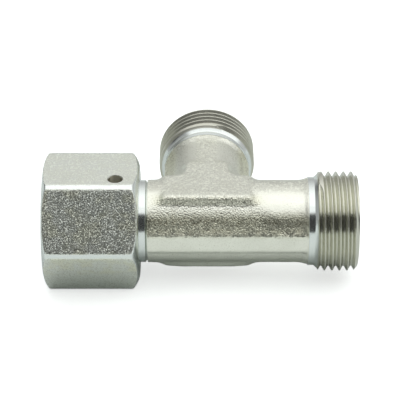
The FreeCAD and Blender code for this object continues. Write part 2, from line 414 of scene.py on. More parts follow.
class Value:
    """A number in a shader; arithmetic on it adds Math nodes."""

    def __init__(self, paint, socket):
        self.paint = paint
        self.socket = socket

    def __add__(self, other):
        return self.paint.math("ADD", self, other)

    def __radd__(self, other):
        return self.paint.math("ADD", other, self)

    def __sub__(self, other):
        return self.paint.math("SUBTRACT", self, other)

    def __rsub__(self, other):
        return self.paint.math("SUBTRACT", other, self)

    def __mul__(self, other):
        return self.paint.math("MULTIPLY", self, other)

    def __abs__(self):
        return self.paint.math("ABSOLUTE", self)

    def above(self, low, high):
        """0 below low, 1 above high, smooth between."""
        made = self.paint.node(
            "ShaderNodeMapRange", {"interpolation_type": "SMOOTHSTEP"},
            {"Value": self, "From Min": low, "From Max": high, "To Min": 0.0, "To Max": 1.0},
        )
        return Value(self.paint, made.outputs["Result"])

    def within(self, low, high, soft):
        """1 between low and high, 0 outside, with soft borders."""
        return self.above(low - soft, low + soft) * (1 - self.above(high - soft, high + soft))


class Paint:
    """Builds the nodes of one material or world."""

    def __init__(self, tree):
        self.tree = tree
        tree.nodes.clear()

    def node(self, kind, settings=None, sockets=None):
        """Makes a node: its type, its settings, then the values or links of its sockets."""
        made = self.tree.nodes.new(kind)
        for key, value in (settings or {}).items():
            setattr(made, key, value)
        for key, value in (sockets or {}).items():
            source = value.socket if isinstance(value, Value) else value
            if isinstance(source, bpy.types.NodeSocket):
                self.tree.links.new(source, made.inputs[key])
            else:
                made.inputs[key].default_value = source
        return made

    def math(self, operation, *values):
        """The result of one Math node."""
        made = self.node("ShaderNodeMath", {"operation": operation}, dict(enumerate(values)))
        return Value(self, made.outputs[0])

    def largest(self, *values):
        """The largest of some values."""
        found = values[0]
        for value in values[1:]:
            found = self.math("MAXIMUM", found, value)
        return found

    def mix(self, mask, first, second):
        """Colour that goes from first to second with the mask."""
        low, high = [tone if isinstance(tone, bpy.types.NodeSocket) else rgba(tone) for tone in (first, second)]
        return self.node("ShaderNodeMix", {"data_type": "RGBA"}, {"Factor": mask, 6: low, 7: high}).outputs[2]

    def place(self):
        """Object coordinates in millimetres, as a vector and as three values."""
        coordinates = self.node("ShaderNodeTexCoord")
        scaled = self.node("ShaderNodeVectorMath", {"operation": "SCALE"},
                           {0: coordinates.outputs["Object"], "Scale": 1 / MM})
        return scaled.outputs[0], self.axes(scaled.outputs[0])

    def axes(self, vector):
        """The three values of a vector."""
        parts = self.node("ShaderNodeSeparateXYZ", None, {0: vector})
        return [Value(self, parts.outputs[i]) for i in range(3)]

    def ray(self, kind):
        """1 for rays of that kind, 0 for others."""
        return Value(self, self.node("ShaderNodeLightPath").outputs[kind])

    def stretched(self, vector, factors):
        """The vector times three factors."""
        return self.node("ShaderNodeVectorMath", {"operation": "MULTIPLY"}, {0: vector, 1: factors}).outputs[0]

    def noise(self, vector, scale, detail=2.0, roughness=0.5):
        """Cloudy noise; the scale is in clouds to the millimetre."""
        made = self.node("ShaderNodeTexNoise", {"noise_dimensions": "3D"},
                         {"Vector": vector, "Scale": scale, "Detail": detail, "Roughness": roughness})
        return Value(self, made.outputs["Fac"])

    def cells(self, vector, scale):
        """Distance to the middle of the nearest cell."""
        made = self.node("ShaderNodeTexVoronoi", {"voronoi_dimensions": "3D", "feature": "F1"},
                         {"Vector": vector, "Scale": scale})
        return Value(self, made.outputs["Distance"])

    def bump(self, height, depth_mm):
        """The normal of a fine relief."""
        made = self.node("ShaderNodeBump", None, {"Strength": 1.0, "Distance": depth_mm * MM, "Height": height})
        return made.outputs["Normal"]

    def surface(self, tone, metallic, roughness, normal):
        """The shader of the surface and the material's output."""
        shader = self.node("ShaderNodeBsdfPrincipled", None, {
            "Base Color": tone, "Metallic": metallic, "Roughness": roughness, "Normal": normal})
        self.node("ShaderNodeOutputMaterial", None, {"Surface": shader.outputs[0]})


def rgba(value):
    """A colour with full alpha."""
    return (*tuple(value)[:3], 1.0)


def lightest(tone):
    """The colour brought up until its strongest part is nearly full."""
    return tuple(0.97 * part / max(tone) for part in tone)


def new_material(name):
    """An empty material and what paints it."""
    made = bpy.data.materials.new(name)
    made.use_nodes = True
    return made, Paint(made.node_tree)


def forged_zinc(name, finishes, forging):
    """Zinc plating on a blasted forging: fine grain, soft waves, a darker deposit in the hollows, painted glints on
    the pad's crown and painted shade along the crease over the flash band, by pad and flash height.
    """
    pad_top, pad_end, lip_z = forging.pad_height / 2, forging.pad_run_reach, forging.flash_height / 2
    band_top = lip_z + forging.flash_rise
    made, paint = new_material(name)
    vector, (x, y, z) = paint.place()
    grain = paint.noise(vector, 3.6, detail=1.0, roughness=0.5)
    pimples = 1 - paint.cells(vector, 1.7).above(0.0, 0.32)
    waves = paint.noise(vector, 0.4, detail=1.0)
    torn = z.within(lip_z + 0.05, band_top + 1.0, 1.0)
    middle = (1 - abs(x).above(pad_end - 0.2, pad_end + 4.3)) * z.above(1.0, 3.0)
    lip = z.within(lip_z - 0.05, lip_z + 1.35, 0.35) * paint.noise(vector, 0.9, detail=3.0).above(0.38, 0.6)
    step = z.within(pad_top - 1.7, pad_top - 0.3, 0.35) * (1 - y.above(-4, -2))
    step = step * (1 - abs(x).above(pad_end + 0.8, pad_end + 2.8))
    crown = z.above(pad_top - 0.5, pad_top - 0.2)
    below_pad = middle * z.within(band_top + 1.0, pad_top - 1.5, 0.7)
    rough = middle * 0.4 + torn * 0.45 + lip * 0.4 + step * 1.1 + below_pad * 0.5
    # Painted glints: bright specks on the pad's crown, mixed toward a near-white tone, with some bump and
    # roughness.
    painted_glints = paint.noise(vector, 1.9, detail=3.0, roughness=0.65).above(0.51, 0.57) * crown
    # Painted shade: darker patches along the crease where the flash band's lean meets the barrel.
    dark = z.within(band_top - 0.8, band_top + 0.6, 0.4) * paint.noise(vector, 1.3, detail=3.0).above(0.35, 0.6)
    height = grain * (0.45 + rough) + pimples * (0.1 + middle * 0.22) + waves * 0.5 + painted_glints * 0.35
    hollow = 1 - grain.above(0.34, 0.5)
    specks = 1 - paint.noise(vector, 2.2, detail=3.0, roughness=0.7).above(0.28, 0.36)
    patches = paint.noise(vector, 0.16, detail=3.0).above(0.4, 0.72)
    # Darker toward the soil colour: soil in the grain's hollows, more over the middle, the torn flash, the near pad
    # wall and under the pad, random specks and patches and the torn lip, plus painted shade along the band's crease
    # and on the crown around the painted glints.
    dirt_and_shade = hollow * (0.1 + middle * 0.1 + torn * 0.33 + step * 0.25 + below_pad * 0.2) + dark * 0.35
    dirt_and_shade = dirt_and_shade + specks * 0.4 + patches * 0.08 + lip * 0.2 + (crown - painted_glints) * 0.08
    skin = paint.mix(torn * 0.5 + step * 0.3, finishes.forged, finishes.stain)
    tone = paint.mix(dirt_and_shade, paint.mix(painted_glints * 0.85, skin, lightest(finishes.forged)), finishes.soil_and_shade)
    roughness = 0.24 + grain * 0.12 + patches * 0.05 + lip * 0.12 + painted_glints * 0.15
    paint.surface(tone, 1.0, roughness, paint.bump(height, 0.1))
    return made


def nut_zinc(name, finishes, flat_radius, hole):
    """Blasted grain on the six flats with painted glints as bright specks on the top flat, turned finish elsewhere,
    and painted shade in the wire hole.
    """
    made, paint = new_material(name)
    vector, (x, y, z) = paint.place()
    half, lean = 0.5, math.sqrt(3) / 2
    across = paint.largest(abs(z), abs(z * half + y * lean), abs(z * half - y * lean))
    flat = across.above(flat_radius - 0.12, flat_radius - 0.05)
    grain = paint.noise(vector, 4.0, detail=1.0, roughness=0.5)
    pimples = 1 - paint.cells(vector, 2.9).above(0.0, 0.4)
    upper = z.above(flat_radius - 1.0, flat_radius - 0.5)
    top = flat * upper
    # Painted glints: bright specks on the top flat, mixed toward a near-white tone, with some bump and roughness.
    painted_glints = paint.noise(vector, 2.0, detail=3.0, roughness=0.6).above(0.53, 0.57) * top
    height = (grain * 0.9 + pimples * 0.5) * flat + painted_glints * 0.5 + paint.noise(vector, 0.5) * 0.1
    hollow = (1 - grain.above(0.36, 0.52)) * flat * (1 - upper * 0.7)
    patches = paint.noise(vector, 0.3, detail=4.0, roughness=0.6).above(0.42, 0.62)
    patches = patches * (flat - top * 0.8) * z.above(-7, -5)
    # Painted shade: the wall of the wire hole is darkened toward the soil colour and made rougher.
    mouth, outward, hole_r = hole
    off_axis = (y - mouth.y) * outward.z - (z - mouth.z) * outward.y
    inside = 1 - ((x - mouth.x) * (x - mouth.x) + off_axis * off_axis).above(hole_r ** 2, (hole_r + 0.1) ** 2)
    inside = inside * z.above(0, 1) * (1 - z.above(flat_radius - 0.16, flat_radius - 0.06))
    clean = paint.mix(painted_glints, paint.mix(flat, finishes.turned, finishes.flats), lightest(finishes.flats))
    stained = paint.mix(patches * 0.4, clean, finishes.stain)
    # Darker toward the soil colour: soil in the grain's hollows, less on the top flat, painted shade in the wire
    # hole, and the top flat a little round the painted glints.
    tone = paint.mix(hollow * 0.35 + inside * 0.85 + (top - painted_glints) * 0.03, stained, finishes.soil_and_shade)
    roughness = 0.2 + (grain * 0.1 + 0.06) * flat + painted_glints * 0.3 + inside * 0.3
    paint.surface(tone, 1.0, roughness, paint.bump(height, 0.1))
    return made


def turned_zinc(name, finishes, axis, thread_start, dull=0.0):
    """Turned steel with a bright plating: fine tool lines round the axis, warmer in the thread."""
    made, paint = new_material(name)
    vector, parts = paint.place()
    factors = [0.15, 0.15, 0.15]
    factors[axis] = 1.0
    lines = paint.noise(paint.stretched(vector, factors), 9.0, detail=2.0)
    cloud = paint.noise(vector, 0.45, detail=3.0)
    in_thread = parts[axis].above(thread_start - 0.1, thread_start + 0.1)
    tone = paint.mix(in_thread, finishes.turned, finishes.thread)
    roughness = 0.12 + lines * 0.08 + in_thread * dull + cloud * 0.04
    paint.surface(tone, 1.0, roughness, paint.bump(lines * 0.5 + cloud * 0.5, 0.008))
    return made


def drawn_wire(name, tone):
    """Bright drawn wire with faint lengthwise marks."""
    made, paint = new_material(name)
    vector, _ = paint.place()
    marks = paint.noise(vector, 3.0, detail=4.0)
    paint.surface(paint.mix(marks.above(0.3, 0.75) * 0.4, tone, tuple(c * 0.6 for c in tone)), 1.0,
                  0.35 + marks * 0.2, paint.bump(marks, 0.01))
    return made


def moulded_rubber(name, tone):
    """Matt black rubber with a faint bloom."""
    made, paint = new_material(name)
    vector, _ = paint.place()
    bloom = paint.noise(vector, 1.2, detail=4.0)
    lighter = tuple(min(1.0, c * 2.2) for c in tone)
    paint.surface(paint.mix(bloom.above(0.45, 0.8), tone, lighter), 0.0, 0.42 + bloom * 0.2,
                  paint.bump(paint.noise(vector, 6.0), 0.01))
    return made


# Pieces

def forged_barrel(name, forging, end, steps):
    """One barrel along +X, with its flare, drawn out past the forging's end."""
    barrel_r, flare_r = forging.barrel_d / 2, forging.flare_d / 2
    flare = arc_points((forging.barrel_length, barrel_r), -0.1, (forging.forged_length, flare_r))
    return lathe(name, [(0, 0), (0, barrel_r)] + flare + [(end, flare_r), (end, 0)], steps)


def corner_blend(side, forging, steps):
    """Quarter bend that rounds the corner between branch and run on one side."""
    radius = forging.barrel_d / 2
    bend = radius + forging.blend_radius
    obj = primitive(
        bpy.ops.mesh.primitive_torus_add, "corner_blend", location=(side * bend, bend, 0),
        major_segments=steps, minor_segments=steps // 2, major_radius=bend, minor_radius=radius - 0.02,
    )
    slice_off(obj, (side * bend, bend, 0), (side, 0, 0))
    slice_off(obj, (side * bend, bend, 0), (0, 1, 0))
    return obj


def tee_outline(name, half_width, back, front, branch, z, inner_radius, segments=6):
    """A flat tee seen from above, as one face with rounded inner corners."""
    obj = primitive(bpy.ops.mesh.primitive_plane_add, name, size=2 * half_width, location=(0, 0, z))
    edit(obj, "EDGE")
    reach = half_width - MERGE
    for test, way in (
        (lambda p: p.x > reach, (front - half_width, 0, 0)),
        (lambda p: p.x < -reach and abs(p.y) < reach, (half_width - back, 0, 0)),
        (lambda p: p.y > reach and abs(p.x) < reach, (0, branch - half_width, 0)),
    ):
        pick(obj, test, "edges")
        draw_out(*way)
    select_all()
    bpy.ops.mesh.dissolve_faces()
    bpy.ops.mesh.select_mode(type="VERT")
    round_corners(
        obj, lambda p: abs(abs(p.x) - half_width) < MERGE and abs(p.y - half_width) < MERGE, inner_radius, segments)
    return obj


def round_corners(obj, test, radius, segments=6):
    """In edit mode, rounds the corners of a flat outline that pass the test."""
    pick(obj, test)
    bpy.ops.mesh.bevel(offset=radius, offset_type="OFFSET", segments=segments, affect="VERTICES")


def deepen(depth):
    """In edit mode, draws a flat face down to a block and leaves its foot selected."""
    select_all()
    draw_out(0, 0, -depth)


def die_pad(forging):
    """Raised tee-shaped flat with sloping ends and a rounded rim, on the upper side."""
    half, top = forging.pad_width / 2, forging.pad_height / 2
    run, branch = forging.pad_run_reach, forging.pad_branch_reach
    obj = tee_outline("die_pad", half, run, run, branch, top, forging.pad_inner_radius)
    round_corners(obj, lambda p: abs(p.x) > run - MERGE or p.y > branch - MERGE, forging.pad_corner_radius)
    deepen(forging.pad_depth)
    low = top - forging.pad_depth / 2
    corner, side, end = forging.pad_corner_radius + MERGE, forging.pad_side_draft, forging.pad_end_draft
    for test, way in (
        (lambda p: p.x > run - corner, (end, 0, 0)),
        (lambda p: p.x < corner - run, (-end, 0, 0)),
        (lambda p: p.y > branch - corner, (0, end, 0)),
        (lambda p: p.y < corner - half, (0, -side, 0)),
        (lambda p: half - corner < p.y < half + MERGE, (0, side, 0)),
        (lambda p: p.y > half + MERGE and p.x > 0, (side, 0, 0)),
        (lambda p: p.y > half + MERGE and p.x < 0, (-side, 0, 0)),
    ):
        pick(obj, lambda p: p.z < low and test(p))
        push(*way)
    bpy.ops.mesh.select_mode(type="EDGE")
    pick(obj, lambda p: p.z > top - MERGE, "edges")
    bpy.ops.mesh.bevel(offset=forging.pad_edge_radius, segments=4, affect="EDGES")
    return closed(obj)


def flash_band(forging):
    """The trimmed flash round the parting plane, with sides that lean in to the barrels."""
    half, edge = forging.flash_width / 2, forging.flash_height / 2
    reach = forging.forged_length + OVERRUN + forging.flash_slope
    back = forging.neck_start + OVERRUN + forging.flash_slope
    radius = forging.barrel_d / 2 + forging.blend_radius - half
    obj = tee_outline("flash_band", half, back, reach, reach, edge, radius, 12)
    deepen(forging.flash_height)
    close_up()
    bpy.ops.mesh.select_mode(type="FACE")
    above, below = (1, forging.flash_slope, forging.flash_rise), (-1, forging.flash_foot, forging.flash_drop)
    for side, lean, rise in (above, below):
        pick(obj, lambda p: side * p.z > edge - MERGE, "faces")
        bpy.ops.mesh.inset(thickness=lean, depth=rise, use_even_offset=True)
    return closed(obj)


def mirrored_below(obj, name):
    """A copy mirrored to the lower side."""
    made = copy_of(obj, name)
    made.scale = (1, 1, -1)
    settle(made)
    edit(made)
    return closed(made)


def weigh(obj, name, weight_of):
    """A vertex group whose weights, up to 1, come from each vertex's place."""
    group = obj.vertex_groups.new(name=name)
    for vertex in obj.data.vertices:
        weight = min(1.0, weight_of(vertex.co))
        if weight > 0.01:
            group.add([vertex.index], weight, "REPLACE")
    return name


def ruffle(obj, noise_size, depth, group="", middle=0.5):
    """Displaces the skin with a cloud noise of that size, in millimetres."""
    clouds = bpy.data.textures.new("clouds", "CLOUDS")
    clouds.noise_scale = noise_size
    clouds.noise_depth = 2
    apply_modifier(obj, "DISPLACE", texture=clouds, texture_coords="LOCAL", strength=depth, mid_level=middle,
                   vertex_group=group)
    bpy.data.textures.remove(clouds)


def torn_lip_weight(forging):
    """Weight of the torn upper edge of the trimmed flash, strongest where the tears are."""
    lip_z, band_r = forging.flash_height / 2, forging.flash_width / 2
    skin, below, over, spread, plain_tear, corner = 0.45, 0.7, 0.9, 0.85, 0.45, 0.6

    def weight(p):
        off_run = abs(p.y) if p.x < band_r or abs(p.y) < band_r + corner else 0
        side = max(off_run, abs(p.x) if p.y > band_r else 0)
        if side < band_r - skin or not lip_z - below < p.z < lip_z + over:
            return 0.0
        tear = plain_tear
        if p.y < 0:
            tear += sum(strength * math.exp(-((p.x - place) / width) ** 2) for place, width, strength in TEARS)
        return min(1.0, tear) * (1 - abs(p.z - lip_z - (over - below) / 2) / spread)

    return weight


def drilled_tee(forging, steps):
    """The tool that bores both flow passages."""
    radius = forging.bore_d / 2
    reach = forging.forged_length + OVERRUN
    branch = turned_onto_branch(rod("branch_drill", 0, reach, radius, steps))
    return combine(rod("run_drill", -reach, reach, radius, steps), branch, "UNION")


def tee_forging(forging, steps):
    """The forging between its turned ends, as one skin."""
    end = forging.forged_length + OVERRUN
    upper = die_pad(forging)
    parts = [
        forged_barrel("tee_forging", forging, end, steps),
        turned_onto_branch(forged_barrel("branch_barrel", forging, end, steps)),
        rod("swivel_barrel", -forging.neck_start - OVERRUN, 0, forging.barrel_d / 2, steps),
        corner_blend(1, forging, steps),
        corner_blend(-1, forging, steps),
        upper,
        mirrored_below(upper, "lower_pad"),
        flash_band(forging),
    ]
    obj = join(parts)
    new_skin(obj, forging.grain)
    soften(obj, 12)
    foot_z, foot_fade, end_x, end_fade = 4.5, 1.5, 5.0, 2.0
    soften(obj, 24, weigh(obj, "pads", lambda p: (abs(p.z) - foot_z) / foot_fade))
    soften(obj, 90, weigh(
        obj, "lower_pad_ends", lambda p: min((abs(p.x) - end_x) / end_fade, (-p.z - foot_z) / foot_fade)))
    ruffle(obj, noise_size=3.2, depth=0.08)
    lip = weigh(obj, "torn_lip", torn_lip_weight(forging))
    ruffle(obj, noise_size=0.5, depth=0.6, group=lip, middle=0.45)
    slice_off(obj, (forging.forged_length, 0, 0), (1, 0, 0))
    slice_off(obj, (0, forging.forged_length, 0), (0, 1, 0))
    slice_off(obj, (-forging.neck_start, 0, 0), (-1, 0, 0))
    return combine(obj, drilled_tee(forging, steps), "DIFFERENCE")


def helix_cutter(name, flank, turns, pitch, steps, fade=0.0):
    """A closed helix about X, swept from a closed profile of (x, radius), that can start above the surface."""
    obj = profile_line(name, flank, loop=True)
    leave()
    apply_modifier(obj, "SCREW", axis="X", angle=FULL_TURN, screw_offset=pitch, iterations=turns,
                   steps=steps, render_steps=steps, use_normal_calculate=True)
    edit(obj)
    select_all()
    bpy.ops.mesh.fill_holes(sides=0)
    close_up()
    if fade:
        start = max(x for x, radius in flank) + MERGE
        pick(obj, lambda p: abs(p.y) < 0.01 and p.z > 0 and p.x < start)
        bpy.ops.transform.translate(
            value=(0, 0, pitch), use_proportional_edit=True, use_proportional_connected=True,
            proportional_edit_falloff="SMOOTH", proportional_size=fade,
        )
    leave()
    return obj


def valley(x, crest_r, root_r, pitch):
    """Profile of one metric thread valley, with a rounded root and broken crests; works both ways."""
    way = 1 if crest_r > root_r else -1
    half, gap, crest_break, cover, root_round = pitch / 2, 0.01, 0.05, 0.14, 0.04
    side = [
        (pitch / 12, root_r),
        (half - pitch / 16 - 2 * gap, crest_r - way * crest_break),
        (half - gap, crest_r + way * 2 * gap),
        (half - gap, crest_r + way * cover),
    ]
    left = [(x - reach, radius) for reach, radius in side]
    right = [(x + reach, radius) for reach, radius in reversed(side)]
    return left + right + [(x, root_r - way * root_round)]


def threaded_end(forging, end, arm_length, steps):
    """Turned end along +X: collar, run-in, thread, chamfer, seat, tube socket and bore."""
    start, thread_start = forging.forged_length, arm_length - end.thread_length
    collar_end = thread_start - end.run_in
    collar_r, thread_r = forging.flare_d / 2, end.thread_d / 2
    fillet, fillet_rise, last_step, last_rise = 0.72, 0.65, 0.78, 0.13
    seat_depth = (end.seat_mouth_d - end.socket_d) / 2 / CONE_SLOPE
    stop = arm_length - end.socket_depth
    obj = lathe("run_threaded_end", [
        (start, forging.bore_d / 2), (start, collar_r),
        (collar_end, collar_r), (collar_end + fillet, collar_r + fillet_rise),
        (thread_start - last_step, thread_r - last_rise), (thread_start, thread_r),
        (arm_length - end.tip_chamfer, thread_r), (arm_length, end.tip_d / 2), (arm_length, end.seat_mouth_d / 2),
        (arm_length - seat_depth, end.socket_d / 2), (stop, end.socket_d / 2), (stop, forging.bore_d / 2),
    ], steps)
    break_edges(obj, width=0.07, segments=3, degrees=30)
    root_r = thread_r - MALE_DEPTH * end.pitch
    turns = math.ceil((arm_length - end.valley_start) / end.pitch) + 1
    flank = valley(end.valley_start, thread_r, root_r, end.pitch)
    cutter = helix_cutter("thread_cutter", flank, turns, end.pitch, steps, end.thread_fade)
    return combine(obj, cutter, "DIFFERENCE")


def wire_ring_radius(nose, nut):
    """The wire lies half in the shank and half in the nut's rear bore."""
    return (nose.shank_d + nut.rear_bore) / 4


def groove_arc(nose, ring_r, surface_r, way):
    """Profile of the wire groove that opens through a surface of that radius; way is 1 outwards, -1 inwards."""
    groove_r = nose.wire_d / 2 + nose.wire_clearance
    start = math.asin(way * (surface_r - ring_r) / groove_r)
    points = []
    for step in range(GROOVE_STEPS + 1):
        angle = math.pi - start - (math.pi - 2 * start) * step / GROOVE_STEPS
        points.append((-nose.wire_distance + groove_r * math.cos(angle), ring_r + way * groove_r * math.sin(angle)))
    return points


def cone_nose(forging, nose, nut, arm_length, steps):
    """Turned swivel side of the body: shank with its wire groove, shoulder, cone with its ring groove."""
    shank_r, bore_r = nose.shank_d / 2, forging.bore_d / 2
    relief, relief_end, edge, tip_edge, bore_edge = 0.35, 0.25, 0.5, 0.45, 0.4
    relief_r, neck, tip = shank_r - relief, forging.neck_start, arm_length

    def cone_r(x):
        return nose.gauge_d / 2 - (x - nose.gauge_distance) * CONE_SLOPE

    ring_low = nose.ring_distance - nose.ring_groove_width / 2
    ring_high = nose.ring_distance + nose.ring_groove_width / 2
    floor_r = nose.ring_inner_d / 2
    obj = lathe("cone_nose", [
        (-neck, bore_r), (-neck, relief_r), (-neck - relief_end, relief_r), (-neck - relief_end - 0.15, shank_r),
        *reversed(groove_arc(nose, wire_ring_radius(nose, nut), shank_r, -1)),
        (-nose.shank_end + edge, shank_r), (-nose.shank_end, shank_r - edge),
        (-nose.shank_end, cone_r(nose.shank_end)), (-ring_low, cone_r(ring_low)), (-ring_low, floor_r),
        (-ring_high, floor_r), (-ring_high, cone_r(ring_high)), (-tip + tip_edge, cone_r(tip - tip_edge)),
        (-tip, cone_r(tip) - tip_edge), (-tip, bore_r + bore_edge), (-tip + bore_edge, bore_r),
    ], steps)
    break_edges(obj, width=0.06, segments=2, degrees=25)
    return obj


def wire_path(nose, nut):
    """Where the wire's tail leaves its ring, the tail's way outwards, and the hole's mouth on the top flat."""
    ring_r = wire_ring_radius(nose, nut)
    mouth = Vector((-nose.wire_distance, -nut.hole_offset, NUT_HIGH.z / MM))
    turn = math.atan2(mouth.z, mouth.y) + math.acos(ring_r / math.hypot(mouth.y, mouth.z))
    entry = Vector((-nose.wire_distance, ring_r * math.cos(turn), ring_r * math.sin(turn)))
    return entry, (mouth - entry).normalized(), mouth


def nut_core(nose, nut, end, front, rear, steps):
    """The tool for all that is hollow in the nut: bores, thread, wire groove and wire hole."""
    mouth_r, bore_r, relief_r = nut.mouth_d / 2, nut.thread_bore / 2, nut.relief_d / 2
    rear_r = nut.rear_bore / 2
    thread_end = front - (mouth_r - bore_r) - nut.thread_length
    slope_start = thread_end - nut.relief_width
    slope_end = slope_start - (relief_r - rear_r)
    core = lathe("nut_core", [
        (-front - OVERRUN, 0), (-front - OVERRUN, mouth_r + OVERRUN), (-front + mouth_r - bore_r, bore_r),
        (-thread_end, bore_r), (-thread_end, relief_r), (-slope_start, relief_r), (-slope_end, rear_r),
        *groove_arc(nose, wire_ring_radius(nose, nut), rear_r, 1), (-rear - nut.rear_chamfer, rear_r),
        (-rear + OVERRUN, rear_r + nut.rear_chamfer + OVERRUN), (-rear + OVERRUN, 0),
    ], steps)
    first = -front - end.pitch
    turns = math.ceil((front - thread_end) / end.pitch) + 1
    flank = valley(first, bore_r, bore_r + FEMALE_DEPTH * end.pitch, end.pitch)
    combine(core, helix_cutter("nut_thread_cutter", flank, turns, end.pitch, steps), "UNION")
    entry, outward, mouth = wire_path(nose, nut)
    hole_r, chamfer = nut.hole_d / 2, nut.hole_chamfer
    depth = (mouth - entry).length + OVERRUN
    drill = rod("wire_drill", 0, depth, hole_r, DRILL_SIDES)
    drill.matrix_world = Matrix.Translation(entry) @ outward.to_track_quat("X", "Z").to_matrix().to_4x4()
    settle(drill)
    combine(core, drill, "UNION")
    sink = primitive(
        bpy.ops.mesh.primitive_cone_add, "wire_countersink", vertices=DRILL_SIDES, radius1=hole_r,
        radius2=hole_r + OVERRUN, depth=OVERRUN, location=mouth + Vector((0, 0, OVERRUN / 2 - chamfer)),
    )
    return combine(core, sink, "UNION")


def hexagon_nut(nose, nut, end, steps):
    """Hexagon with crowned ends and rounded corners, then bored and threaded."""
    front, rear, flat = -NUT_LOW.x / MM, -NUT_HIGH.x / MM, NUT_HIGH.z / MM
    corner = flat * 2 / math.sqrt(3)
    middle = -(front + rear) / 2
    obj = primitive(
        bpy.ops.mesh.primitive_cylinder_add, "hexagon_nut", vertices=HEXAGON_SIDES, radius=corner,
        depth=front - rear, location=(middle, 0, 0), rotation=(0, QUARTER_TURN, 0),
    )
    edit(obj, "EDGE")
    pick(obj, lambda p: abs(p.x - middle) < MERGE and math.hypot(p.y, p.z) > corner - MERGE, "edges")
    bpy.ops.mesh.bevel(offset=nut.corner_radius * math.tan(math.radians(30)), segments=6, affect="EDGES")
    leave()
    face_r, bulge = nut.face_d / 2, nut.crown_bulge
    envelope = lathe("crowned_envelope", [
        (-front, 0),
        *arc_points((-front, face_r), bulge, (-front + nut.front_crown, corner)),
        *arc_points((-rear - nut.rear_crown, corner), bulge, (-rear, face_r)),
        (-rear, 0),
    ], steps)
    combine(obj, envelope, "INTERSECT")
    new_skin(obj, nut.grain)
    soften(obj, 6)
    ruffle(obj, noise_size=2.6, depth=0.04, middle=1.0)
    return combine(obj, nut_core(nose, nut, end, front, rear, steps), "DIFFERENCE")


def bent_wire(nose, nut, steps):
    """Round wire: a straight tail in the nut's hole, then most of a ring."""
    entry, outward, mouth = wire_path(nose, nut)
    tail_end = mouth - outward * nose.wire_tail_depth
    obj = primitive(
        bpy.ops.mesh.primitive_circle_add, "bent_wire", vertices=24, radius=nose.wire_d / 2,
        fill_type="NOTHING", location=tail_end, rotation=outward.to_track_quat("Z", "Y").to_euler(),
    )
    edit(obj, "EDGE")
    select_all()
    draw_out(*(entry - tail_end))
    bpy.ops.mesh.spin(steps=steps, angle=-WIRE_TURN, center=(0, 0, 0), axis=(1, 0, 0))
    select_all()
    bpy.ops.mesh.fill_holes(sides=0)
    closed(obj)
    break_edges(obj, width=0.12, segments=2, degrees=60)
    return obj


def rubber_ring(nose, steps):
    """The O-ring, with the faint line where its mould parts."""
    middle_r = nose.ring_inner_d / 2 + nose.ring_section / 2 + 0.02
    obj = primitive(
        bpy.ops.mesh.primitive_torus_add, "rubber_ring", location=(-nose.ring_distance, 0, 0),
        rotation=(0, QUARTER_TURN, 0), major_segments=steps, minor_segments=32, major_radius=middle_r,
        minor_radius=nose.ring_section / 2,
    )
    edit(obj)
    pick(obj, lambda p: abs(p.x + nose.ring_distance) < 0.02 and math.hypot(p.y, p.z) < middle_r)
    swell = 1 - 0.015 / middle_r
    bpy.ops.transform.resize(value=(1, swell, swell), center_override=(-nose.ring_distance, 0, 0))
    leave()
    return obj


# Operators

class TEE_OT_forging(Operator):
    """Makes the forged part of the tee between its turned ends"""

    bl_idname = "run_tee.forging"
    bl_label = "Forging"

    def execute(self, context):
        made = recipe(context)
        obj = tee_forging(made.forging, made.steps)
        material = forged_zinc("forged_zinc", made.finishes, made.forging)
        finish_piece(obj, "tee", ["tee_body"], material)
        return {"FINISHED"}


class TEE_OT_threaded_ends(Operator):
    """Makes the threaded end of the run and copies it to the branch"""

    bl_idname = "run_tee.threaded_ends"
    bl_label = "Threaded Ends"

    def execute(self, context):
        made = recipe(context)
        arm_length, colour_change = TEE_HIGH.x / MM, 0.6
        run = threaded_end(made.forging, made.end, arm_length, made.steps)
        branch = turned_onto_branch(copy_of(run, "branch_threaded_end"))
        thread_start = arm_length - made.end.thread_length - made.end.run_in + colour_change
        for axis, (obj, dull) in enumerate(((run, 0.04), (branch, 0.2))):
            material = turned_zinc(obj.name + "_zinc", made.finishes, axis, thread_start, dull)
            finish_piece(obj, "tee", ["tee_body"], material, smooth_angle=24)
        return {"FINISHED"}


class TEE_OT_cone_nose(Operator):
    """Makes the turned shank and cone that the nut runs on"""

    bl_idname = "run_tee.cone_nose"
    bl_label = "Cone Nose"

    def execute(self, context):
        made = recipe(context)
        obj = cone_nose(made.forging, made.nose, made.nut, -TEE_LOW.x / MM, made.steps)
        material = turned_zinc("nose_zinc", made.finishes, 0, NO_THREAD)
        finish_piece(obj, "tee", ["tee_body"], material)
        return {"FINISHED"}


class TEE_OT_hexagon_nut(Operator):
    """Makes the hexagon swivel nut"""

    bl_idname = "run_tee.hexagon_nut"
    bl_label = "Hexagon Nut"

    def execute(self, context):
        made = recipe(context)
        obj = hexagon_nut(made.nose, made.nut, made.end, made.steps)
        _, outward, mouth = wire_path(made.nose, made.nut)
        material = nut_zinc("nut_zinc", made.finishes, NUT_HIGH.z / MM, (mouth, outward, made.nut.hole_d / 2))
        finish_piece(obj, "nut", ["swivel_nut"], material)
        return {"FINISHED"}


class TEE_OT_bent_wire(Operator):
    """Makes the thrust wire that holds the nut on the tee"""

    bl_idname = "run_tee.bent_wire"
    bl_label = "Thrust Wire"

    def execute(self, context):
        made = recipe(context)
        obj = bent_wire(made.nose, made.nut, made.steps)
        finish_piece(obj, "nut", ["thrust_wire"], drawn_wire("drawn_wire", made.finishes.wire))
        return {"FINISHED"}


class TEE_OT_rubber_ring(Operator):
    """Makes the O-ring in the cone's groove"""

    bl_idname = "run_tee.rubber_ring"
    bl_label = "O-ring"

    def execute(self, context):
        made = recipe(context)
        obj = rubber_ring(made.nose, made.steps)
        material = moulded_rubber("moulded_rubber", made.finishes.rubber)
        finish_piece(obj, "tee", ["cone_o_ring"], material)
        return {"FINISHED"}


